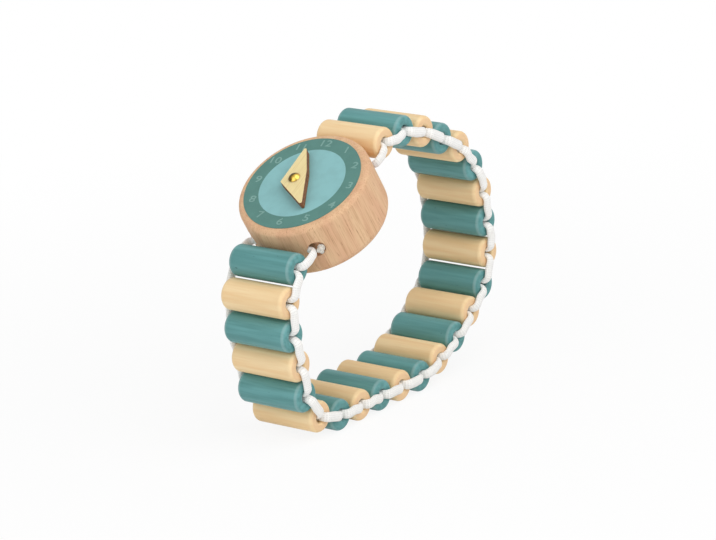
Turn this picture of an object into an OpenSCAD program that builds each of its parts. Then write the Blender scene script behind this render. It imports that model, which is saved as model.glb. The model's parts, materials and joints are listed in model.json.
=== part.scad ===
// Toy watch: a beech disc with a printed dial and one turning hand, on a strap of
// dowel beads that white elastic laces side by side into a closed loop.
// The watch stands on the strap. X runs along the loop, Y along the beads, Z is up.

/* [Case] */
// Diameter of the wooden case
case_d = 26.3; // [24:0.1:30]
// Thickness of the wooden case
case_t = 11.6; // [9:0.2:14]
// Radius of the upper edge
case_top_r = 1; // [0.2:0.1:1.2]
// Radius of the softened lower edge
case_back_r = 2; // [0.8:0.1:2.4]
// Diameter of the cross holes that hold the elastic
lug_d = 2; // [1.8:0.1:2.6]
// Diameter of the round pockets at the mouths of the cross holes
pocket_d = 3.4; // [3.2:0.1:4]
// Depth of those pockets
pocket_depth = 0.9; // [0.5:0.1:1.2]
// Distance from the rim to the axis of a cross hole
lug_inset = 2.45; // [1.8:0.05:3]
// Height of the cross holes above the middle of the case
lug_rise = 0.6; // [0:0.1:1.5]
// Lean of the dial from level, towards the wearer
case_lean = 31; // [20:1:40]

/* [Dial] */
// Width of the bare wooden rim round the print
rim_w = 1.45; // [1.2:0.05:2]
// Width of the dark printed ring
ring_w = 3; // [2:0.1:4]
// Thickness of the layer of print
print_t = 0.1; // [0.05:0.01:0.2]
// Place of the print from the middle of the case, towards 9 o'clock
print_to_9 = 0.2; // [-0.2:0.05:0.2]

/* [Hand] */
// Thickness of the plywood
hand_t = 1.4; // [1:0.1:2.5]
// Distance from the nail to the pointing tip
tip_reach = 8.6; // [6:0.1:9.5]
// Distance from the nail to the tail
tail_reach = 8.4; // [5:0.1:9.5]
// Distance from the nail to the wide corner
wide_reach = 2.8; // [2.4:0.1:4]
// Distance from the nail to the blunt corner
blunt_reach = 2.7; // [2.4:0.1:3.4]
// Radius on the tip, the tail and the wide corner
hand_corner_r = 0.3; // [0.1:0.05:0.5]
// Radius on the blunt corner
blunt_corner_r = 8; // [1:0.5:12]
// Turn of the hand from 12 o'clock towards 11 o'clock
hand_turn = 16; // [0:1:359]

/* [Nail] */
// Diameter of the nail's shank
shank_d = 1.2; // [0.8:0.1:1.6]
// Diameter of the nail's domed head
head_d = 2.3; // [2:0.1:3]
// Height of the dome
head_h = 0.7; // [0.5:0.1:1]
// Depth that the nail is driven into the case
nail_depth = 6; // [4:0.5:8]
// Place of the nail from the middle of the print, towards 12 o'clock
nail_to_12 = -0.4; // [-1:0.1:1]
// Place of the nail from the middle of the print, towards 9 o'clock
nail_to_9 = 0.8; // [-1:0.1:1]

/* [Strap] */
// Diameter of a bead
bead_d = 6.1; // [5:0.1:7]
// Length of a bead
bead_len = 14.4; // [11:0.1:16]
// Radius on the end edges of a bead
bead_edge_r = 0.8; // [0.2:0.1:1]
// Diameter of the hole through a bead
bead_hole_d = 2.4; // [2:0.1:2.8]
// Radius on the mouths of that hole
bead_mouth_r = 0.5; // [0.1:0.05:0.5]
// Space between neighbouring beads
bead_gap = 0.3; // [0.2:0.1:0.8]
// Space between the case and the bead next to it
case_gap = 0.2; // [0.2:0.05:1]

/* [Elastic] */
// Diameter of the elastic where it lies free in a stitch
cord_d = 1.6; // [1.2:0.1:1.7]
// Diameter of the knot that ends the elastic
knot_d = 1.2; // [0.9:0.1:1.2]

/* [Hidden] */
$fn = 64;
// Colours of the finishes
beech = "#dbb48e";
pale_wood = "#e8c696";
teal = "#669c9e";
dark_teal = "#5f8a82";
light_teal = "#8abdc0";
ply = "#f1dbb1";
brass = "#c9a24a";
white_elastic = "#f0eee4";

// Overrun of a cut past the face that it opens
cut_over = 1;
// Clearance of the shank in the hand, all round
hand_run = 0.08;
// Clearance of the shank in the case, all round
nail_fit = 0.02;
// Space under the hand, and between the hand and the nail's head
hand_lift = 0.15;
// Space at the bottom of the nail's hole
nail_floor = 0.3;
// Length of the nail's point
point_len = 1.2;
// Clearance between a strand and the wall of a bead's hole
strand_clear = 0.12;
// Least space between the two strands in one hole
strand_gap = 0.25;
// Clearance between a strand and the wall of a cross hole, on the side of the bead
lug_clear = 0.35;
// Least space between neighbouring stitches, and between a stitch and the beads
stitch_gap = 0.1;
// Sharpest bend between two neighbouring links of elastic
sharpest_bend = 52;
// Space between the knot and the stitch that it ends
knot_gap = 0.08;
// Turn of the knot round the end of that stitch, outwards from the line of the stitch
knot_turn = 26;

// Corners of the hand, as turns from the pointing tip round the nail
wide_turn = 104;
tail_turn = 206;
blunt_turn = 311;
// Steps in the arc at each corner of the hand
corner_steps = 4;

// Heading of each link of elastic in the loop, from the 12 o'clock hole round to the 6 o'clock hole
base_heading = -180;
link_headings = [
    40, 10, -11, -23, -25, -46, -65, -82, -88, -108, -139, -146, -156, -167,
    base_heading, base_heading, base_heading, base_heading,
    -197, -235, -260, -257, -268, -296, -330
];
// Rounds of correction that close the loop
closing_rounds = 8;

// Sizes that follow from those above
bead_count = len(link_headings) - 1;
pitch = bead_d + bead_gap;
ring_d = case_d - 2 * rim_w;
centre_d = ring_d - 2 * ring_w;
lug_reach = case_d / 2 - lug_inset;
lug_link = lug_inset + case_gap + bead_d / 2;
lug_turn = acos(lug_reach / (case_d / 2));
case_top = case_t / 2 - lug_rise;
bend_share = cos(sharpest_bend / 2);
strand_d = ((bead_hole_d - 2 * strand_clear) * bend_share - strand_gap) / (1 + bend_share);
strand_off = bead_hole_d / 2 - strand_clear - strand_d / 2;
lug_off = lug_d / 2 - lug_clear - strand_d / 2;
stitch_end = (cord_d + stitch_gap) / 2 / bend_share;
stitch_y = bead_len / 2 + stitch_gap + cord_d / 2;
hand_z = print_t + hand_lift;
head_z = hand_z + hand_t + hand_lift;
knot_reach = cord_d / 2 + knot_gap + knot_d / 2;

// The loop: each link is one step, and the case is the step that closes it
case_step = 2 * lug_reach * [cos(case_lean), sin(case_lean)];
function link_length(i) = (i == 0 || i == bead_count) ? lug_link : pitch;
function steps(h) = [for (i = [0 : bead_count]) link_length(i) * [cos(h[i]), sin(h[i])]];
function total(v) = [for (i = v) 1] * v;
function misfit(h) = total(steps(h)) + case_step;

// How a step moves the end of the loop for each degree of heading; the flat base stays as it is
function pull(h) = [
    for (i = [0 : bead_count])
        link_headings[i] == base_heading ? [0, 0]
            : link_length(i) * [-sin(h[i]), cos(h[i])] * PI / 180
];
function solve(a, b, c, f) = [c * f.x - b * f.y, a * f.y - b * f.x] / (a * c - b * b);
function corrected(h) =
    let (
        j = pull(h),
        a = total([for (v = j) v.x * v.x]),
        b = total([for (v = j) v.x * v.y]),
        c = total([for (v = j) v.y * v.y]),
        k = solve(a, b, c, misfit(h))
    )
    [for (i = [0 : bead_count]) h[i] - j[i] * k];
function closed(h, rounds) = rounds <= 0 ? h : closed(corrected(h), rounds - 1);

// Places round the loop, with the lowest beads on the ground and the loop centred
headings = closed(link_headings, closing_rounds);
loop_steps = steps(headings);
function reached(i) = total([for (k = [0 : i]) loop_steps[k]]);
raw_beads = [for (i = [0 : bead_count - 1]) reached(i)];
bead_xs = [for (p = raw_beads) p.x];
bead_zs = [for (p = raw_beads) p.y];
loop_shift = [-(min(bead_xs) + max(bead_xs)) / 2, bead_d / 2 - min(bead_zs)];
lug_12 = loop_shift;
lug_6 = loop_shift - case_step;
beads = [for (p = raw_beads) p + loop_shift];
stops = concat([lug_12], beads, [lug_6]);
case_at = (lug_12 + lug_6) / 2;

// Names of the nodes
function numbered(word, i) = str(word, i < 10 ? "_0" : "_", i);
bead_names = [for (i = [1 : bead_count]) numbered("bead", i)];
link_names = [for (i = [1 : bead_count + 1]) numbered("link", i)];

// Half section of a disc or rod with its two end edges rounded, from the axis outwards
module rounded_section(radius, height, low_r, high_r) {
    translate([0, low_r])
        square([radius, height - low_r - high_r]);
    square([radius - low_r, low_r]);
    translate([radius - low_r, low_r])
        intersection() {
            circle(low_r);
            translate([0, -low_r])
                square([low_r, low_r]);
        }
    translate([0, height - high_r])
        square([radius - high_r, high_r]);
    translate([radius - high_r, height - high_r])
        intersection() {
            circle(high_r);
            square([high_r, high_r]);
        }
}

// A rod along Y, centred on the origin
module rod(d, length) {
    rotate([90, 0, 0])
        cylinder(d = d, h = length, center = true);
}

// What belongs to the case, in the case's own frame: X towards 12 o'clock, Z out of the dial, with the
// origin midway between the cross holes
module on_case() {
    translate([case_at.x, 0, case_at.y])
        rotate([0, -case_lean, 0])
            children();
}

// What is centred on the print
module on_dial(height) {
    on_case()
        translate([0, print_to_9, case_top + height])
            children();
}

// What is centred on the nail
module on_nail(height) {
    on_dial(height)
        translate([nail_to_12, nail_to_9, 0])
            children();
}

module case() {
    color(beech)
        on_case()
            difference() {
                translate([0, 0, case_top - case_t])
                    rotate_extrude()
                        rounded_section(case_d / 2, case_t, case_back_r, case_top_r);
                for (side = [-1, 1])
                    translate([side * lug_reach, 0, 0])
                        rod(lug_d, case_d);
                for (turn = [lug_turn, 180 - lug_turn, 180 + lug_turn, -lug_turn])
                    rotate([0, 0, turn])
                        translate([case_d / 2 - pocket_depth, 0, 0])
                            rotate([0, 90, 0])
                                cylinder(d = pocket_d, h = pocket_depth + cut_over);
                translate([nail_to_12, print_to_9 + nail_to_9, case_top - nail_depth - nail_floor])
                    cylinder(d = shank_d + 2 * nail_fit, h = nail_depth + nail_floor + cut_over);
            }
}

module dial_ring() {
    color(dark_teal)
        on_dial(0)
            difference() {
                cylinder(d = ring_d, h = print_t);
                translate([0, 0, -cut_over])
                    cylinder(d = centre_d, h = print_t + 2 * cut_over);
            }
}

module dial_centre() {
    color(light_teal)
        on_dial(0)
            difference() {
                cylinder(d = centre_d, h = print_t);
                translate([nail_to_12, nail_to_9, -cut_over])
                    cylinder(d = shank_d + 2 * nail_fit, h = print_t + 2 * cut_over);
            }
}

// One corner of an outline, rounded to a radius between its two neighbours
function unit(v) = v / norm(v);
function heading_of(v) = atan2(v.y, v.x);
function corner_arc(before, at, after, r) =
    let (
        a = unit(before - at),
        b = unit(after - at),
        half = acos(a * b) / 2,
        centre = at + unit(a + b) * r / sin(half),
        start = heading_of(at + a * r / tan(half) - centre),
        sweep = 180 - 2 * half
    )
    [for (k = [0 : corner_steps]) centre + r * [
        cos(start + sweep * k / corner_steps),
        sin(start + sweep * k / corner_steps)
    ]];
function polar(reach, turn) = reach * [cos(turn), sin(turn)];
hand_corners = [
    polar(tip_reach, 0),
    polar(wide_reach, wide_turn),
    polar(tail_reach, tail_turn),
    polar(blunt_reach, blunt_turn)
];
hand_corner_rs = [hand_corner_r, hand_corner_r, hand_corner_r, blunt_corner_r];
function hand_corner(i) = hand_corners[(i + len(hand_corners)) % len(hand_corners)];
hand_outline = [
    for (i = [0 : len(hand_corners) - 1])
        each corner_arc(hand_corner(i - 1), hand_corner(i), hand_corner(i + 1), hand_corner_rs[i])
];

module hand() {
    color(ply)
        on_nail(hand_z)
            rotate([0, 0, hand_turn])
                difference() {
                    linear_extrude(hand_t)
                        polygon(hand_outline);
                    translate([0, 0, -cut_over])
                        cylinder(d = shank_d + 2 * hand_run, h = hand_t + 2 * cut_over);
                }
}

// Radius of the ball that the nail's dome is cut from
dome_r = (pow(head_d / 2, 2) + pow(head_h, 2)) / (2 * head_h);

module nail() {
    color(brass)
        on_nail(0)
            rotate_extrude() {
                polygon([
                    [0, -nail_depth],
                    [shank_d / 2, point_len - nail_depth],
                    [shank_d / 2, head_z + head_h / 2],
                    [0, head_z + head_h / 2]
                ]);
                intersection() {
                    translate([0, head_z + head_h - dome_r])
                        circle(dome_r);
                    translate([0, head_z])
                        square([head_d / 2, head_h + cut_over]);
                }
            }
}

// Half section of the rounded mouth of a bead's hole, at the bead's lower end
module mouth_section() {
    flare = bead_hole_d / 2 + bead_mouth_r;
    difference() {
        translate([0, -cut_over])
            square([flare, bead_mouth_r + cut_over]);
        translate([flare, bead_mouth_r])
            circle(bead_mouth_r);
    }
}

// A dowel bead along Y, drilled from end to end
module bead(i) {
    color(i % 2 == 0 ? pale_wood : teal)
        translate([beads[i].x, bead_len / 2, beads[i].y])
            rotate([90, 0, 0])
                rotate_extrude()
                    difference() {
                        rounded_section(bead_d / 2, bead_len, bead_edge_r, bead_edge_r);
                        square([bead_hole_d / 2, bead_len]);
                        mouth_section();
                        translate([0, bead_len])
                            mirror([0, 1])
                                mouth_section();
                    }
}

// A stitch of elastic along X with round ends
module stitch(length) {
    rotate([0, 90, 0])
        cylinder(d = cord_d, h = length);
    sphere(d = cord_d);
    translate([length, 0, 0])
        sphere(d = cord_d);
}

// One closed loop of elastic: a stitch on each side, and a strand in each of the two holes
module link(i) {
    length = link_length(i);
    start_off = i == 0 ? lug_off : strand_off;
    end_off = i == bead_count ? lug_off : strand_off;
    color(white_elastic)
        translate([stops[i].x, 0, stops[i].y])
            rotate([0, -headings[i], 0]) {
                for (side = [-1, 1])
                    translate([stitch_end, side * stitch_y, 0])
                        stitch(length - 2 * stitch_end);
                for (x = [start_off, length - end_off])
                    translate([x, 0, 0])
                        rod(strand_d, 2 * stitch_y);
            }
}

module knot() {
    color(white_elastic)
        translate([lug_6.x, 0, lug_6.y])
            rotate([0, -headings[bead_count], 0])
                translate([knot_reach * cos(knot_turn) - stitch_end, -stitch_y - knot_reach * sin(knot_turn), 0])
                    sphere(d = knot_d);
}

case();
dial_ring();
dial_centre();
hand();
nail();
knot();
for (i = [0 : bead_count - 1])
    bead(i);
for (i = [0 : bead_count])
    link(i);
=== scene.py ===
"""Toy watch: the finish of its wood, print, brass and elastic, and the studio that it stands in."""

import json
import math
import random

import bmesh
import bpy
from bpy.props import FloatProperty, FloatVectorProperty, IntProperty, PointerProperty
from mathutils import Color, Matrix, Vector


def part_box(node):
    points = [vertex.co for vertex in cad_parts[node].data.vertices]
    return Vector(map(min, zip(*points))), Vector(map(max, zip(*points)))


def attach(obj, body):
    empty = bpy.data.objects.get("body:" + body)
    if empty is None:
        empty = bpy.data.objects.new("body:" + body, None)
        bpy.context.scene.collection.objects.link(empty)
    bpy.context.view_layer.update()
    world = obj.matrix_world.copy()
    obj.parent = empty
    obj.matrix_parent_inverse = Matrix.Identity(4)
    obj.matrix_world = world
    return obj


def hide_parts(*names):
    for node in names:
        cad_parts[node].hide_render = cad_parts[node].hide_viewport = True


bl_info = {
    "name": "Toy Watch",
    "version": (1, 0, 0),
    "blender": (4, 5, 0),
    "location": "3D View > Sidebar > Toy Watch",
    "description": "Finishes a wooden toy watch on a strap of laced beads",
    "category": "Object",
}

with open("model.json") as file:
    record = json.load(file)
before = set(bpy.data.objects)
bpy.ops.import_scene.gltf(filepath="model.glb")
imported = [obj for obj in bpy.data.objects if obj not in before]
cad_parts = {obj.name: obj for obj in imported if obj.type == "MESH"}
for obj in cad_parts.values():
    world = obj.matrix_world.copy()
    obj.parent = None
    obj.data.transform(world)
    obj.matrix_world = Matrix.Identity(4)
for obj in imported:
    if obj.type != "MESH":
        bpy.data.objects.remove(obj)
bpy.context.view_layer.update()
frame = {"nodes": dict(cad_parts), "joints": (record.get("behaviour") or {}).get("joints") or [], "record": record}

MM = 0.001
HOURS = 12
WHITE = (1, 1, 1, 1)
# Brightest level of a colour as it is written here
FULL_LEVEL = 255
# Height of a number as a share of the built-in font's size
CAPITAL_SHARE = 0.72
# Points of a CAD mesh that are closer than this are one point
WELD_REACH = 0.001 * MM
# Index of refraction of wood, whether bare, stained or printed
WOOD_IOR = 1.4
# Levels between which most of a noise lies
NOISE_LOW, NOISE_HIGH = 0.3, 0.7
# Numbers of the Mix node's sockets when it mixes colours
MIX_FACTOR, MIX_FIRST, MIX_SECOND, MIX_RESULT = 0, 6, 7, 2
# Name of the mesh attribute that holds how the elastic's cover lies
WEAVE = "weave"

# Places taken from the frame

NODES = frame["nodes"]
BODIES = frame["record"]["behaviour"]["bodies"]
BODY_OF = {node: body for body, members in BODIES.items() for node in members}
BEADS = sorted(name for name in NODES if name.startswith("bead_"))
LINKS = sorted(name for name in NODES if name.startswith("link_"))


def joint(name):
    """The frame's joint of that name."""
    return next(row for row in frame["joints"] if row["name"] == name)


def middle(node):
    """The middle of a CAD node's box."""
    low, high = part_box(node)
    return (low + high) / 2


def points(node):
    """The places of a CAD node's points."""
    return [vertex.co for vertex in NODES[node].data.vertices]


def hole_radius(node, at):
    """The radius of the narrowest part of a hole that runs along the beads through a point."""
    return min((point - at).cross(ALONG_BEADS).length for point in points(node))


ALONG_BEADS = Vector((0, 1, 0))
NAIL_AT = Vector(joint("hand_turn")["pos_m"])
DIAL_UP = Vector(joint("hand_turn")["axis"]).normalized()
TO_TWELVE = ALONG_BEADS.cross(DIAL_UP)
PRINT_AT = middle("dial_ring")
CASE_BACK = Vector(frame["record"]["mounts"][0]["pos_m"])
CASE_THICK = max((point - CASE_BACK).dot(DIAL_UP) for point in points("case"))
CASE_AT = CASE_BACK + DIAL_UP * CASE_THICK / 2
CASE_LEAN = math.atan2(TO_TWELVE.z, TO_TWELVE.x)
CASE_TURN = (0, -CASE_LEAN, 0)
HOLE_AT_SIX = Vector(joint("case_bend")["pos_m"])
HOLE_AT_TWELVE = HOLE_AT_SIX + 2 * TO_TWELVE * (CASE_AT - HOLE_AT_SIX).dot(TO_TWELVE)
BEAD_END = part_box(BEADS[0])[1].y
# Holes that the elastic runs through, in order round the strap
STOPS = [HOLE_AT_TWELVE, *(middle(name) for name in BEADS), HOLE_AT_SIX]
BEAD_HOLE_RADIUS = hole_radius(BEADS[0], STOPS[1])
CASE_HOLE_RADIUS = hole_radius("case", HOLE_AT_SIX)

# Settings


def shade(red, green, blue):
    """A colour as it shows on screen, each level up to FULL_LEVEL, as Blender's linear colour."""
    on_screen = Color((red / FULL_LEVEL, green / FULL_LEVEL, blue / FULL_LEVEL))
    return tuple(on_screen.from_srgb_to_scene_linear())


def tint(name, description, red, green, blue):
    """A colour that a user can change."""
    return FloatVectorProperty(
        name=name,
        description=description,
        default=shade(red, green, blue),
        subtype="COLOR",
        size=3,
        min=0,
        max=1,
    )


def length(name, description, millimetres):
    """A length that a user can change."""
    return FloatProperty(name=name, description=description, default=millimetres * MM, unit="LENGTH", min=0)


def share(name, description, default):
    """A share from 0 to 1 that a user can change."""
    return FloatProperty(name=name, description=description, default=default, subtype="FACTOR", min=0, max=1)


def factor(name, description, default):
    """A factor from 0 upwards that a user can change."""
    return FloatProperty(name=name, description=description, default=default, min=0)


def count(name, description, default, least=0):
    """A whole number that a user can change."""
    return IntProperty(name=name, description=description, default=default, min=least)


def angle(name, description, degrees):
    """An angle that a user can change."""
    return FloatProperty(name=name, description=description, default=math.radians(degrees), subtype="ANGLE")


def direction(name, description, x, y, z):
    """A direction that a user can change."""
    return FloatVectorProperty(name=name, description=description, default=(x, y, z), subtype="DIRECTION")


class CaseSettings(bpy.types.PropertyGroup):
    """Look of the wooden case"""

    light: tint("Light beech", "Pale parts of the case", 230, 192, 151)
    pink: tint("Pink beech", "Pinkish parts of the case", 224, 178, 141)
    fibre: tint("Fibres", "Fine lines along the grain", 194, 146, 108)
    fleck: tint("Flecks", "Thin dark flecks along the grain", 146, 88, 58)
    fleck_share: share("Fleck strength", "How strongly the flecks show", 0.45)


class DialSettings(bpy.types.PropertyGroup):
    """Look of the print and its numbers"""

    ring: tint("Ring", "Dark printed ring", 91, 137, 129)
    centre: tint("Centre", "Light printed disc", 142, 194, 196)
    numeral: tint("Numerals", "Printed numbers", 130, 170, 162)
    numeral_height: length("Numeral height", "Height of a printed number", 1.65)
    numeral_width: factor("Numeral width", "How far a number is stretched sideways", 1.25)
    numeral_shift: FloatVectorProperty(
        name="Numeral shift",
        description="Place of the ring of numbers from the middle of the print, towards 12 and 9 o'clock",
        default=(0.24 * MM, -0.28 * MM),
        size=2,
        unit="LENGTH",
    )
    numeral_stroke: length("Numeral weight", "How far a number's strokes are widened on each side", 0.015)
    print_turn: angle("Print turn", "Turn of the print from 12 o'clock towards 11", 5.1)
    ink: length("Ink", "Thickness of the printed numbers", 0.02)
    deep_share: share("Deep ink", "Brightness of the deepest ink against the lightest", 0.92)


class HandSettings(bpy.types.PropertyGroup):
    """Look of the plywood hand and its softened edges"""

    face: tint("Plywood", "Pale faces of the hand", 241, 222, 166)
    grain: tint("Grain", "Grain lines on the faces", 230, 207, 149)
    burnt: tint("Burnt edge", "Edge browned by the cut", 148, 92, 58)
    char: tint("Charred lines", "Darkest lines of the burnt edge", 96, 58, 36)
    bevel: length("Softened edge", "Width of the softened edge round the hand", 0.18)
    bevel_steps: count("Softened steps", "Faces across the softened edge", 3, least=1)
    sharp: angle("Sharp edge", "Turn between two faces above which their edge is softened", 40)


class NailSettings(bpy.types.PropertyGroup):
    """Look of the brass nail"""

    brass: tint("Brass", "Polished metal of the nail", 222, 184, 88)
    # Dark brown painted on the brass as painted dark reflection
    tarnish: tint("Tarnish", "Dull brown film on the metal", 80, 60, 18)
    roughness: share("Roughness", "Roughness of the polished head", 0.16)
    rubbed: share("Rubbed roughness", "How much rougher the rubbing marks are", 0.12)


class BeadSettings(bpy.types.PropertyGroup):
    """Look of the bare and the stained beads"""

    natural_light: tint("Light wood", "Pale streaks of the bare beads", 250, 223, 177)
    natural_dark: tint("Dark wood", "Darker streaks of the bare beads", 242, 206, 154)
    natural_end: tint("Wood ends", "End grain of the bare beads", 240, 203, 158)
    teal_light: tint("Light stain", "Paler streaks of the stained beads", 104, 163, 164)
    teal_dark: tint("Dark stain", "Darker streaks of the stained beads", 86, 142, 141)
    teal_fleck: tint("Stain flecks", "Small dark flecks in the stain", 48, 88, 88)
    # These three set a painted highlight along the rounded edge at each end of a bead: how pale it is on the
    # stained beads, how wide, and how strong
    teal_fade: share("Stain fade", "How far the stain fades to white where it is worn", 0.3)
    worn_edge: length("Worn edge", "Width of the paler, worn edge at each end", 0.8)
    wear: share("Wear", "How strongly the worn edge shows", 0.3)


class ElasticSettings(bpy.types.PropertyGroup):
    """Look and shape of the elastic"""

    white: tint("Elastic", "White woven cover of the elastic", 251, 250, 247)
    # Painted shade in the furrows between the threads
    furrow: tint("Furrows", "Furrows between the threads of the cover", 226, 225, 221)
    stitch_thick: length("Stitch thickness", "Thickness of the elastic where it lies on the bead ends", 1.05)
    stitch_wide: length("Stitch width", "Width of the elastic where it lies on the bead ends", 2.0)
    strand_thick: length("Strand thickness", "Thickness of the elastic in a hole, along the strap", 1.0)
    strand_fill: share("Strand fill", "Share of a hole's width that the elastic fills", 0.73)
    slack: length("Slack", "Space round the elastic in a hole and under a stitch", 0.05)
    bend: length("Bend", "Radius of the bend where the elastic turns into a hole", 1.1)
    taper: share("Taper", "Share of its full width that the elastic regains in that bend", 0.8)
    swell: share("Swell", "How much thicker than the middling ones the fattest stitch is", 0.05)
    bow: length("Bow", "How far the fattest stitch bows out of the line of the holes", 0.3)
    threads: count("Threads", "Threads of the cover, each way round", 8, least=3)
    thread_pitch: length("Thread pitch", "Length of one turn of the woven pattern", 0.8)
    seed: count("Seed", "Start of the small differences between stitches", 7)


class KnotSettings(bpy.types.PropertyGroup):
    """Look and shape of the knot, with painted shade of the hole in its colours"""

    # Greyer than the elastic: painted shade of the hole that the knot sits in
    white: tint("Elastic", "Pulled cover of the elastic in the knot", 226, 222, 212)
    # Painted shade in the furrows of the knot
    furrow: tint("Furrows", "Furrows of the knot", 150, 144, 132)
    across: length("Width", "Width of the knot", 1.95)
    thread_d: length("Cord", "Diameter of the pulled elastic in the knot", 0.85)
    seat: length("Seat", "How far the knot is pulled into the mouth of the hole", 0.3)
    tuck: length("Tuck", "How far the knot is pulled towards the middle of the hole", 0.2)


class StageSettings(bpy.types.PropertyGroup):
    """Floor, lights and camera"""

    floor: tint("Floor", "Pale floor", 250, 250, 250)
    floor_roughness: share("Floor roughness", "Roughness of the floor", 0.9)
    floor_radius: length("Floor radius", "Radius of the floor", 3000)
    floor_sides: count("Floor sides", "Straight sides round the floor", 64, least=3)
    floor_white: share("Floor white", "How far the floor fades into the white background at the watch", 0.88)
    floor_fade: length("Floor fade", "Distance from the watch at which the floor is all white", 220)
    ambient: factor("Ambient", "Strength of the light from all round", 0.4)
    key: factor("Key", "Share of full light that the key light gives", 0.48)
    key_from: direction("Key from", "Direction that the key light comes from", 0.0, -0.62, 0.78)
    key_distance: length("Key distance", "Distance of the key light from the target", 500)
    key_size: length("Key size", "Diameter of the key light", 600)
    fill: factor("Fill", "Share of full light that the fill light gives", 0.24)
    fill_from: direction("Fill from", "Direction that the fill light comes from", -1.0, -0.05, 0.45)
    fill_distance: length("Fill distance", "Distance of the fill light from the target", 600)
    fill_size: length("Fill size", "Diameter of the fill light", 600)
    azimuth: angle("Camera azimuth", "Turn of the camera round the watch", -51.865)
    elevation: angle("Camera elevation", "Height of the camera above the horizon", 16.742)
    roll: angle("Camera roll", "Turn of the camera about its own line of sight", -3.092)
    distance: length("Camera distance", "Distance from the camera to its target", 620.37)
    near: length("Camera near", "Distance from the camera at which the picture starts", 10)
    lens: FloatProperty(name="Lens", description="Focal length", default=163.54, unit="CAMERA", min=1)
    sensor: FloatProperty(name="Sensor", description="Sensor width", default=36, unit="CAMERA", min=1)
    target: FloatVectorProperty(
        name="Target",
        description="Point in the middle of the picture",
        default=(-1.666 * MM, 0.05 * MM, 26.071 * MM),
        subtype="TRANSLATION",
    )


class ToyWatchSettings(bpy.types.PropertyGroup):
    """Settings of each piece and of the stage"""

    case: PointerProperty(name="Case", description="Settings of the case", type=CaseSettings)
    dial: PointerProperty(name="Dial", description="Settings of the dial", type=DialSettings)
    hand: PointerProperty(name="Hand", description="Settings of the hand", type=HandSettings)
    nail: PointerProperty(name="Nail", description="Settings of the nail", type=NailSettings)
    beads: PointerProperty(name="Beads", description="Settings of the beads", type=BeadSettings)
    elastic: PointerProperty(name="Elastic", description="Settings of the elastic", type=ElasticSettings)
    knot: PointerProperty(name="Knot", description="Settings of the knot", type=KnotSettings)
    stage: PointerProperty(name="Stage", description="Settings of the stage", type=StageSettings)


# Materials


class Nodes:
    """A tree of shader nodes, made one node at a time."""

    def __init__(self, tree):
        self.tree = tree

    def add(self, kind, inputs=None, **settings):
        """A new node, with its settings and what goes into it."""
        node = self.tree.nodes.new(kind)
        for name, value in settings.items():
            setattr(node, name, value)
        for socket, value in (inputs or {}).items():
            if isinstance(value, bpy.types.NodeSocket):
                self.tree.links.new(value, node.inputs[socket])
            else:
                node.inputs[socket].default_value = value
        return node

    def maths(self, operation, first, second=0.0):
        """One sum."""
        return self.add("ShaderNodeMath", {0: first, 1: second}, operation=operation).outputs[0]

    def seen_directly(self):
        """1 for rays from the camera, and for rays that metal or glass reflects or lets through."""
        rays = self.add("ShaderNodeLightPath").outputs
        thrown = self.maths("MAXIMUM", rays["Is Glossy Ray"], rays["Is Transmission Ray"])
        return self.maths("MAXIMUM", rays["Is Camera Ray"], thrown)

    def show_blend(self, output, factor, first, second):
        """Shows the first surface where the factor is 0, and the second where it is 1."""
        blend = self.add("ShaderNodeMixShader", {0: factor, 1: first.outputs[0], 2: second.outputs[0]})
        self.tree.links.new(blend.outputs[0], self.tree.nodes[output].inputs["Surface"])


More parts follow.
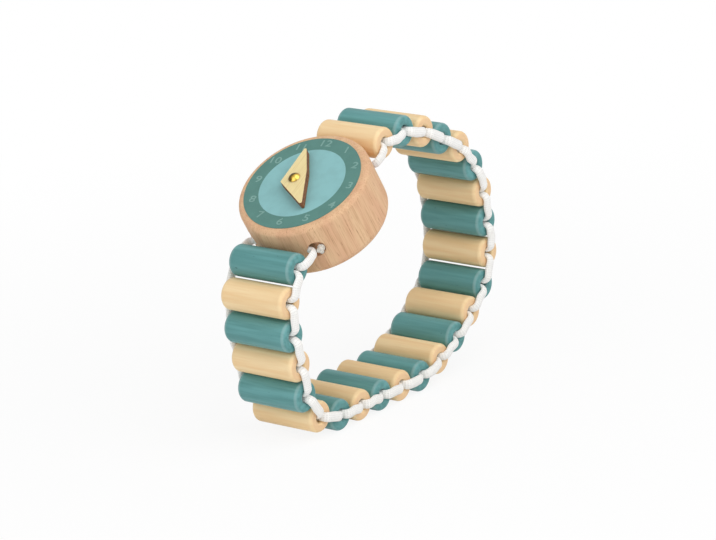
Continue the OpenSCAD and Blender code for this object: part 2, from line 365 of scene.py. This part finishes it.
class Recipe(Nodes):
    """A material whose patterns are placed, and measured in millimetres, in the piece's own frame."""

    def __init__(self, name, at=(0, 0, 0), turn=(0, 0, 0), **constants):
        self.material = bpy.data.materials.new(name)
        self.material.use_nodes = True
        super().__init__(self.material.node_tree)
        self.shader = self.tree.nodes["Principled BSDF"]
        self.coordinates = self.add("ShaderNodeTexCoord").outputs
        self.at = at
        self.turn = turn
        for socket, value in constants.items():
            self.shader.inputs[socket.replace("_", " ")].default_value = value

    def place(self, size):
        """Places on the piece, counted in features of that size along each axis."""
        inputs = {
            "Vector": self.coordinates["Object"],
            "Location": self.at,
            "Rotation": self.turn,
            "Scale": [axis * MM for axis in size],
        }
        return self.add("ShaderNodeMapping", inputs, vector_type="TEXTURE").outputs[0]

    def noise(self, size, detail=2):
        """Noise from 0 to 1, with features of that size along each axis."""
        inputs = {"Vector": self.place(size), "Scale": 1, "Detail": detail}
        return self.add("ShaderNodeTexNoise", inputs).outputs[0]

    def along(self, axis, vector):
        """One part of a vector."""
        return self.add("ShaderNodeSeparateXYZ", {0: vector}).outputs[axis]

    def between(self, value, start, full, least=0.0, most=1.0):
        """A level that goes smoothly from the least to the most as a value goes from start to full."""
        inputs = {"Value": value, "From Min": start, "From Max": full, "To Min": least, "To Max": most}
        return self.add("ShaderNodeMapRange", inputs, interpolation_type="SMOOTHSTEP").outputs[0]

    def mix(self, factor, first, second):
        """The first colour where the factor is 0, the second where it is 1."""
        inputs = {MIX_FACTOR: factor}
        for socket, colour in ((MIX_FIRST, first), (MIX_SECOND, second)):
            inputs[socket] = colour if isinstance(colour, bpy.types.NodeSocket) else (*colour, 1)
        return self.add("ShaderNodeMix", inputs, data_type="RGBA").outputs[MIX_RESULT]

    def cover(self, colour, over, pattern, start, full, most=1.0):
        """A colour that another covers, from not at all to the most as a pattern goes from start to full."""
        return self.mix(self.between(pattern, start, full, most=most), colour, over)

    def facing(self, direction):
        """1 on faces that look along the direction or straight against it, 0 on faces beside it."""
        inputs = {0: self.coordinates["Normal"], 1: direction}
        dot = self.add("ShaderNodeVectorMath", inputs, operation="DOT_PRODUCT")
        return self.maths("ABSOLUTE", dot.outputs["Value"])

    def finish(self, colour, grain, smooth, rough, relief, height=None):
        """Joins the colour to the shader, and a grain that sets its roughness, from smooth to rough.

        The grain, or another height in its place, also raises the surface by a relief of that depth.
        """
        raised = {"Height": grain if height is None else height, "Strength": 1, "Distance": relief * MM}
        surface = {
            "Base Color": colour,
            "Roughness": self.between(grain, NOISE_LOW, NOISE_HIGH, smooth, rough),
            "Normal": self.add("ShaderNodeBump", raised).outputs[0],
        }
        for socket, value in surface.items():
            self.tree.links.new(value, self.shader.inputs[socket])
        return self.material


def beech(look):
    """Bare beech with its grain along the case's axis: end grain on the faces, flecks on the wall."""
    wood = Recipe("beech", at=CASE_AT, turn=CASE_TURN, IOR=WOOD_IOR)
    clouds = wood.noise(size=(3, 3, 14), detail=3)
    bands = wood.noise(size=(0.8, 0.8, 9))
    fibres = wood.noise(size=(0.2, 0.2, 5), detail=3)
    flecks = wood.noise(size=(0.2, 0.2, 1.8), detail=1)
    rays = wood.noise(size=(0.36, 0.36, 3.6), detail=1)
    colour = wood.cover(look.light, look.pink, clouds, start=0.35, full=0.65)
    colour = wood.cover(colour, look.fibre, bands, start=0.48, full=0.68, most=0.25)
    colour = wood.cover(colour, look.fibre, fibres, start=0.46, full=0.72, most=0.6)
    colour = wood.cover(colour, look.fleck, flecks, start=0.66, full=0.76, most=look.fleck_share)
    colour = wood.cover(colour, look.fleck, rays, start=0.72, full=0.78, most=look.fleck_share)
    return wood.finish(colour, fibres, smooth=0.55, rough=0.7, relief=0.03)


def matt_print(name, ink, deep_share):
    """Matt ink on wood, a little uneven, with the wood's grain just showing through."""
    layer = Recipe(name, at=CASE_AT, turn=CASE_TURN, IOR=WOOD_IOR)
    blotches = layer.noise(size=(2.5, 2.5, 2.5), detail=3)
    pores = layer.noise(size=(0.2, 0.2, 4))
    deep_ink = [deep_share * level for level in ink]
    colour = layer.cover(ink, deep_ink, blotches, start=0.35, full=0.7)
    return layer.finish(colour, pores, smooth=0.6, rough=0.72, relief=0.01)


def plywood(look):
    """Pale plywood, browned and charred wherever the cut ran."""
    wood = Recipe("plywood", at=NAIL_AT, turn=CASE_TURN, IOR=WOOD_IOR)
    lines = wood.noise(size=(9, 0.25, 0.5), detail=3)
    plies = wood.noise(size=(0.5, 0.5, 0.25))
    face = wood.cover(look.face, look.grain, lines, start=0.45, full=0.75)
    edge = wood.cover(look.burnt, look.char, plies, start=0.4, full=0.7)
    colour = wood.cover(edge, face, wood.facing(DIAL_UP), start=0.8, full=0.97)
    return wood.finish(colour, lines, smooth=0.5, rough=0.65, relief=0.01)


def polished_brass(look):
    """Polished brass with rubbing marks, under a dull brown painted dark reflection, patchy and thickest on the
    side of 9 o'clock.
    """
    metal = Recipe("polished_brass", at=NAIL_AT, turn=CASE_TURN, Metallic=1)
    marks = metal.noise(size=(0.5, 0.12, 0.12), detail=3)
    patches = metal.noise(size=(0.9, 0.9, 0.9))
    to_nine = metal.along("Y", metal.place(size=(2, 2, 2)))
    # Painted dark reflection: a patchy share that grows towards 9 o'clock
    dark_reflection_share = metal.between(metal.maths("ADD", patches, to_nine), start=0.2, full=0.5, least=0.05, most=0.95)
    colour = metal.mix(dark_reflection_share, look.brass, look.tarnish)
    rubbed = look.roughness + look.rubbed
    return metal.finish(colour, marks, smooth=look.roughness, rough=rubbed, relief=0.004)


def worn_ends(wood, look):
    """How strongly the painted highlight shows along the rounded edges at both ends of a bead."""
    reach = wood.maths("ABSOLUTE", wood.along("Y", wood.coordinates["Object"]))
    # From the bead's end inwards, in widths of the highlight band: the painted highlight starts, is full, eases
    # and is gone
    starts, full, eases, gone = (BEAD_END - widths * look.worn_edge for widths in (0.1, 0.5, 0.8, 1.1))
    band = wood.maths("MULTIPLY", wood.between(reach, gone, eases), wood.between(reach, starts, full))
    return wood.maths("MULTIPLY", band, look.wear)


def bare_wood(look):
    """Bare dowel with fine grain along the bead, warmer end grain and a painted highlight on the rounded edges at
    each end.
    """
    wood = Recipe("bare_dowel", IOR=WOOD_IOR)
    tone = wood.noise(size=(7, 60, 7), detail=0)
    streaks = wood.noise(size=(1.1, 18, 1.1), detail=3)
    fibres = wood.noise(size=(0.18, 6, 0.18))
    colour = wood.cover(look.natural_light, look.natural_dark, streaks, start=0.3, full=0.7)
    colour = wood.cover(colour, look.natural_dark, tone, start=0.4, full=0.7, most=0.35)
    colour = wood.cover(colour, look.natural_dark, fibres, start=0.5, full=0.8, most=0.5)
    colour = wood.cover(colour, look.natural_end, wood.facing(ALONG_BEADS), start=0.8, full=0.98)
    # Painted highlight on the rounded edges at both ends
    colour = wood.mix(worn_ends(wood, look), colour, look.natural_light)
    return wood.finish(colour, fibres, smooth=0.5, rough=0.64, relief=0.02)


def stained_wood(look):
    """Stained dowel: streaks along the grain, a few dark flecks and a painted highlight on the rounded edges at
    each end.
    """
    wood = Recipe("stained_dowel", IOR=WOOD_IOR)
    tone = wood.noise(size=(7, 60, 7), detail=0)
    streaks = wood.noise(size=(0.9, 16, 0.9), detail=3)
    fibres = wood.noise(size=(0.16, 5, 0.16))
    flecks = wood.noise(size=(0.4, 1.1, 0.4), detail=1)
    colour = wood.cover(look.teal_light, look.teal_dark, streaks, start=0.3, full=0.7)
    colour = wood.cover(colour, look.teal_dark, tone, start=0.4, full=0.7, most=0.4)
    colour = wood.cover(colour, look.teal_dark, fibres, start=0.5, full=0.8, most=0.4)
    colour = wood.cover(colour, look.teal_fleck, flecks, start=0.75, full=0.82, most=0.8)
    teal_edge_highlight = [level + look.teal_fade * (1 - level) for level in look.teal_light]
    # Painted highlight on the rounded edges at both ends
    colour = wood.mix(worn_ends(wood, look), colour, teal_edge_highlight)
    return wood.finish(colour, fibres, smooth=0.42, rough=0.56, relief=0.02)


def woven_elastic(name, weave, look):
    """Elastic with a cover of threads that cross round it, and painted shade in the furrows between them."""
    cloth = Recipe(name, Sheen_Weight=0.25, Sheen_Roughness=0.5)
    lay = cloth.add("ShaderNodeAttribute", attribute_name=WEAVE).outputs["Vector"]
    around = cloth.maths("ARCTAN2", cloth.along("Y", lay), cloth.along("X", lay))
    turn = cloth.maths("MULTIPLY", around, weave.threads)
    run = cloth.maths("MULTIPLY", cloth.along("Z", lay), 2 * math.pi / weave.thread_pitch)
    left = cloth.maths("SINE", cloth.maths("ADD", turn, run))
    right = cloth.maths("SINE", cloth.maths("SUBTRACT", turn, run))
    threads = cloth.maths("MULTIPLY", left, right)
    fuzz = cloth.noise(size=(0.2, 0.2, 0.2), detail=3)
    height = cloth.maths("ADD", threads, fuzz)
    # The furrows between the threads get painted shade
    colour = cloth.cover(look.white, look.furrow, threads, start=-0.2, full=-0.9)
    return cloth.finish(colour, fuzz, smooth=0.7, rough=0.85, relief=0.025, height=height)


# Meshes


def new_object(name, data):
    """A new object in the scene."""
    item = bpy.data.objects.new(name, data)
    bpy.context.scene.collection.objects.link(item)
    return item


def new_mesh(name, shape):
    """A mesh made from a bmesh, which is freed."""
    mesh = bpy.data.meshes.new(name)
    shape.to_mesh(mesh)
    shape.free()
    return mesh


def dress(node, material):
    """Gives a CAD node its finish."""
    slots = NODES[node].data.materials
    slots.clear()
    slots.append(material)


def closed_tube(name, path, radii, sideways, sides=20):
    """A tube along a closed path, with the lay of its cover stored at each point.

    Each point has two radii: one in the path's plane, and one across it, along sideways.
    """
    rings = len(path)
    surface, lays, faces = [], [], []
    run = 0.0
    for i, here in enumerate(path):
        ahead = (path[(i + 1) % rings] - path[i - 1]).normalized()
        out = ahead.cross(sideways).normalized()
        across = out.cross(ahead)
        if i:
            run += (here - path[i - 1]).length
        thick, wide = radii[i]
        for k in range(sides):
            turn = 2 * math.pi * k / sides
            surface.append(here + thick * math.cos(turn) * out + wide * math.sin(turn) * across)
            lays.append((math.cos(turn), math.sin(turn), run))
    for i in range(rings):
        ring, after = i * sides, (i + 1) % rings * sides
        for k in range(sides):
            beside = (k + 1) % sides
            faces.append((ring + k, ring + beside, after + beside, after + k))
    mesh = bpy.data.meshes.new(name)
    mesh.from_pydata(surface, [], faces)
    mesh.shade_smooth()
    weave = mesh.attributes.new(WEAVE, "FLOAT_VECTOR", "POINT")
    weave.data.foreach_set("vector", [value for lay in lays for value in lay])
    mesh.update()
    return new_object(name, mesh)


def eased(t):
    """A smooth step from 0 to 1."""
    return t * t * (3 - 2 * t)


def stitch_quarter(look, in_case, half, vary, steps=12):
    """A quarter of a closed loop of elastic, from the middle of a strand to the middle of a stitch.

    Each point is (along the link, along the bead, out of their plane, both radii). Two strands share a
    bead's hole and lie squeezed side by side. The case's cross hole has one strand, pulled to the side of
    the beads. vary, from -1 to 1, sets how fat this stitch is and how far it bows out of line.
    """
    hole = CASE_HOLE_RADIUS if in_case else BEAD_HOLE_RADIUS
    strand = Vector((look.strand_thick / 2, look.strand_fill * hole))
    stitch = Vector((look.stitch_thick, look.stitch_wide)) / 2 * (1 + look.swell * vary)
    strand_x = hole - look.slack - strand.x
    stitch_y = BEAD_END + look.slack + stitch.x
    turn_x = strand_x + look.bend
    turn_y = stitch_y - look.bend
    quarter = []
    for i in range(steps):
        quarter.append((strand_x, turn_y * i / steps, 0.0, strand))
    for i in range(steps):
        t = i / steps
        x = turn_x - look.bend * math.cos(t * math.pi / 2)
        y = turn_y + look.bend * math.sin(t * math.pi / 2)
        quarter.append((x, y, 0.0, strand.lerp(stitch, look.taper * eased(t))))
    for i in range(steps + 1):
        t = i / steps
        x = turn_x + (half - turn_x) * t
        grown = look.taper + (1 - look.taper) * eased(t)
        quarter.append((x, stitch_y, look.bow * vary * eased(t), strand.lerp(stitch, grown)))
    return quarter


def stitch_side(look, span, ends_in_case, vary):
    """One side of a link, from the middle of one strand to the middle of the other."""
    first, last = (stitch_quarter(look, in_case, span / 2, vary) for in_case in ends_in_case)
    return first + [(span - x, y, z, radii) for x, y, z, radii in reversed(last[:-1])]


def link_loop(look, span, ends_in_case, vary_front, vary_back):
    """The closed path of one link: a stitch on each side and a strand in each of the two holes."""
    front = stitch_side(look, span, ends_in_case, vary_front)
    back = stitch_side(look, span, ends_in_case, vary_back)
    other_way = [(x, -y, z, radii) for x, y, z, radii in reversed(back)]
    return front + other_way[1:-1]


def trefoil(steps=72):
    """Points of a knotted loop about one unit in radius."""
    for i in range(steps):
        t = 2 * math.pi * i / steps
        x = math.sin(t) + 2 * math.sin(2 * t)
        y = math.cos(t) - 2 * math.cos(2 * t)
        z = -math.sin(3 * t)
        yield Vector((x, y, z)) / 3


# Operators


class TOYWATCH_OT_case(bpy.types.Operator):
    """Finish the wooden case"""

    bl_idname = "toy_watch.case"
    bl_label = "Case"

    def execute(self, context):
        dress("case", beech(context.scene.toy_watch.case))
        return {"FINISHED"}


class TOYWATCH_OT_dial(bpy.types.Operator):
    """Finish the printed dial and print its numbers"""

    bl_idname = "toy_watch.dial"
    bl_label = "Dial"

    def execute(self, context):
        look = context.scene.toy_watch.dial
        dress("dial_ring", matt_print("ring_print", look.ring, look.deep_share))
        dress("dial_centre", matt_print("centre_print", look.centre, look.deep_share))
        numerals = self.numerals(look)
        numerals.data.materials.append(matt_print("numeral_print", look.numeral, look.deep_share))
        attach(numerals, BODY_OF["dial_ring"])
        return {"FINISHED"}

    def numerals(self, look):
        """The numbers 1 to 12 on the ring, all upright as the wearer reads them."""
        ring = [point - PRINT_AT for point in points("dial_ring")]
        reaches = [point.cross(DIAL_UP).length for point in ring]
        ring_middle = (min(reaches) + max(reaches)) / 2
        ink_middle = max(point.dot(DIAL_UP) for point in ring) + look.ink / 2
        print_turn = Matrix.Rotation(look.print_turn, 2)
        joined = bmesh.new()
        for hour in range(1, HOURS + 1):
            turn = 2 * math.pi * hour / HOURS
            flat = self.number(str(hour), look)
            for point in flat.vertices:
                to_twelve = ring_middle * math.cos(turn) + point.co.y
                to_nine = -ring_middle * math.sin(turn) - point.co.x * look.numeral_width
                x, y = print_turn @ Vector((to_twelve, to_nine)) + Vector(look.numeral_shift)
                height = ink_middle + point.co.z
                point.co = PRINT_AT + TO_TWELVE * x + ALONG_BEADS * y + DIAL_UP * height
            joined.from_mesh(flat)
            bpy.data.meshes.remove(flat)
        return new_object("numerals", new_mesh("numerals", joined))

    def number(self, text, look):
        """One number as a thin flat mesh about its own middle."""
        letters = bpy.data.curves.new("number", "FONT")
        letters.body = text
        letters.size = look.numeral_height / CAPITAL_SHARE
        letters.offset = look.numeral_stroke
        letters.extrude = look.ink / 2
        item = new_object("number", letters)
        bpy.context.view_layer.update()
        mesh = bpy.data.meshes.new_from_object(item.evaluated_get(bpy.context.evaluated_depsgraph_get()))
        bpy.data.objects.remove(item)
        xs = [point.co.x for point in mesh.vertices]
        ys = [point.co.y for point in mesh.vertices]
        centre = Vector((min(xs) + max(xs), min(ys) + max(ys), 0)) / 2
        mesh.transform(Matrix.Translation(-centre))
        return mesh


class TOYWATCH_OT_hand(bpy.types.Operator):
    """Finish the plywood hand with softened, burnt edges"""

    bl_idname = "toy_watch.hand"
    bl_label = "Hand"

    def execute(self, context):
        look = context.scene.toy_watch.hand
        dress("hand", plywood(look))
        weld = NODES["hand"].modifiers.new("join_faces", "WELD")
        weld.merge_threshold = WELD_REACH
        bevel = NODES["hand"].modifiers.new("soften_edges", "BEVEL")
        bevel.width = look.bevel
        bevel.segments = look.bevel_steps
        bevel.limit_method = "ANGLE"
        bevel.angle_limit = look.sharp
        NODES["hand"].modifiers.new("flat_faces", "WEIGHTED_NORMAL")
        return {"FINISHED"}


class TOYWATCH_OT_nail(bpy.types.Operator):
    """Finish the brass nail"""

    bl_idname = "toy_watch.nail"
    bl_label = "Nail"

    def execute(self, context):
        dress("nail", polished_brass(context.scene.toy_watch.nail))
        return {"FINISHED"}


class TOYWATCH_OT_beads(bpy.types.Operator):
    """Finish the beads, bare and stained in turn"""

    bl_idname = "toy_watch.beads"
    bl_label = "Beads"

    def execute(self, context):
        look = context.scene.toy_watch.beads
        bare, stained = bare_wood(look), stained_wood(look)
        for i, bead in enumerate(BEADS):
            dress(bead, stained if i % 2 else bare)
        return {"FINISHED"}


class TOYWATCH_OT_elastic(bpy.types.Operator):
    """Lace the elastic from bead to bead"""

    bl_idname = "toy_watch.elastic"
    bl_label = "Elastic"

    def execute(self, context):
        look = context.scene.toy_watch.elastic
        finish = woven_elastic("woven_elastic", look, look)
        chance = random.Random(look.seed)
        for i, link in enumerate(LINKS):
            start, end = STOPS[i], STOPS[i + 1]
            forward = (end - start).normalized()
            sideways = forward.cross(ALONG_BEADS)
            ends_in_case = (link == LINKS[0], link == LINKS[-1])
            vary_front, vary_back = chance.uniform(-1, 1), chance.uniform(-1, 1)
            loop = link_loop(look, (end - start).length, ends_in_case, vary_front, vary_back)
            path = [start + forward * x + ALONG_BEADS * y + sideways * z for x, y, z, radii in loop]
            stitch = closed_tube("laced_" + link, path, [radii for x, y, z, radii in loop], sideways)
            stitch.data.materials.append(finish)
            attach(stitch, BODY_OF[link])
            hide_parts(link)
        return {"FINISHED"}


class TOYWATCH_OT_knot(bpy.types.Operator):
    """Tie the end of the elastic in the 6 o'clock hole"""

    bl_idname = "toy_watch.knot"
    bl_label = "Knot"

    def execute(self, context):
        settings = context.scene.toy_watch
        look = settings.knot
        inward = HOLE_AT_SIX - middle("knot")
        inward.y = 0
        at = middle("knot") + ALONG_BEADS * look.seat + inward.normalized() * look.tuck
        reach = (look.across - look.thread_d) / 2
        path = [at + reach * (TO_TWELVE * p.x + DIAL_UP * p.y + ALONG_BEADS * p.z) for p in trefoil()]
        radii = [(look.thread_d / 2, look.thread_d / 2)] * len(path)
        knot = closed_tube("tied_knot", path, radii, ALONG_BEADS, sides=14)
        # The knot's greyer colours are painted shade
        knot.data.materials.append(woven_elastic("knot_painted_shade_elastic", settings.elastic, look))
        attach(knot, BODY_OF["knot"])
        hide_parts("knot")
        return {"FINISHED"}


class TOYWATCH_OT_stage(bpy.types.Operator):
    """Set the floor, the lights and the camera"""

    bl_idname = "toy_watch.stage"
    bl_label = "Stage"

    def execute(self, context):
        look = context.scene.toy_watch.stage
        target = Vector(look.target)
        context.scene.view_settings.view_transform = "Standard"
        self.floor(look)
        self.world(context.scene, look)
        self.light("key_light", target, look.key_from, look.key_distance, look.key_size, look.key)
        self.light("fill_light", target, look.fill_from, look.fill_distance, look.fill_size, look.fill)
        self.camera(context.scene, target, look)
        return {"FINISHED"}

    def floor(self, look):
        """A wide pale floor that keeps the watch's shadow and is near white to the camera."""
        flat = bmesh.new()
        bmesh.ops.create_circle(flat, cap_ends=True, segments=look.floor_sides, radius=look.floor_radius)
        floor = new_object("floor", new_mesh("floor", flat))
        paint = Recipe(
            "pale_floor",
            Base_Color=(*look.floor, 1),
            Roughness=look.floor_roughness,
            Specular_IOR_Level=0,
        )
        away = paint.add("ShaderNodeVectorMath", {0: paint.coordinates["Object"]}, operation="LENGTH")
        fade = paint.between(away.outputs["Value"], 0, look.floor_fade, least=look.floor_white)
        white_share = paint.maths("MULTIPLY", paint.seen_directly(), fade)
        paint.show_blend("Material Output", white_share, paint.shader, paint.add("ShaderNodeEmission"))
        floor.data.materials.append(paint.material)

    def world(self, scene, look):
        """Even light from all round, and a white background."""
        scene.world = bpy.data.worlds.new("studio")
        scene.world.use_nodes = True
        sky = Nodes(scene.world.node_tree)
        soft = sky.tree.nodes["Background"]
        soft.inputs["Color"].default_value = WHITE
        soft.inputs["Strength"].default_value = look.ambient
        white = sky.add("ShaderNodeBackground", {"Color": WHITE})
        sky.show_blend("World Output", sky.seen_directly(), soft, white)

    def light(self, name, target, come_from, distance, size, level):
        """A large soft lamp. At a level of 1, a face square to it shows its colour as it is written."""
        lamp = bpy.data.lights.new(name, "AREA")
        lamp.shape = "DISK"
        lamp.size = size
        lamp.energy = level * math.pi**2 * (distance**2 + size**2 / 4)
        item = new_object(name, lamp)
        away = Vector(come_from).normalized()
        item.location = target + away * distance
        item.rotation_mode = "QUATERNION"
        item.rotation_quaternion = away.to_track_quat("Z", "Y")

    def camera(self, scene, target, look):
        """The camera at the viewing angle."""
        lens = bpy.data.cameras.new("camera")
        lens.sensor_fit = "HORIZONTAL"
        lens.sensor_width = look.sensor
        lens.lens = look.lens
        lens.clip_start = look.near
        camera = new_object("camera", lens)
        tilt = Matrix.Rotation(look.azimuth, 4, "Z") @ Matrix.Rotation(math.pi / 2 - look.elevation, 4, "X")
        turn = tilt @ Matrix.Rotation(look.roll, 4, "Z")
        back = turn.to_3x3() @ Vector((0, 0, 1))
        camera.matrix_world = Matrix.Translation(target + back * look.distance) @ turn
        scene.camera = camera


# Each operator under the name of its settings
OPERATORS = {
    "case": TOYWATCH_OT_case,
    "dial": TOYWATCH_OT_dial,
    "hand": TOYWATCH_OT_hand,
    "nail": TOYWATCH_OT_nail,
    "beads": TOYWATCH_OT_beads,
    "elastic": TOYWATCH_OT_elastic,
    "knot": TOYWATCH_OT_knot,
    "stage": TOYWATCH_OT_stage,
}


class TOYWATCH_PT_panel(bpy.types.Panel):
    """The watch's pieces and their settings"""

    bl_idname = "TOYWATCH_PT_panel"
    bl_label = "Toy Watch"
    bl_space_type = "VIEW_3D"
    bl_region_type = "UI"
    bl_category = "Toy Watch"

    def draw(self, context):
        for name, operator in OPERATORS.items():
            look = getattr(context.scene.toy_watch, name)
            box = self.layout.box()
            box.operator(operator.bl_idname)
            for setting in look.__annotations__:
                box.prop(look, setting)


SETTINGS = (
    CaseSettings,
    DialSettings,
    HandSettings,
    NailSettings,
    BeadSettings,
    ElasticSettings,
    KnotSettings,
    StageSettings,
    ToyWatchSettings,
)
CLASSES = (*SETTINGS, *OPERATORS.values(), TOYWATCH_PT_panel)


def register():
    """Adds the classes and the scene's settings."""
    for item in CLASSES:
        bpy.utils.register_class(item)
    bpy.types.Scene.toy_watch = PointerProperty(name="Toy Watch", type=ToyWatchSettings)


def unregister():
    """Takes the settings and the classes away again."""
    del bpy.types.Scene.toy_watch
    for item in reversed(CLASSES):
        bpy.utils.unregister_class(item)


def main():
    """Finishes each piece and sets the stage."""
    register()
    bpy.ops.toy_watch.case()
    bpy.ops.toy_watch.dial()
    bpy.ops.toy_watch.hand()
    bpy.ops.toy_watch.nail()
    bpy.ops.toy_watch.beads()
    bpy.ops.toy_watch.elastic()
    bpy.ops.toy_watch.knot()
    bpy.ops.toy_watch.stage()


if __name__ == "__main__":
    main()
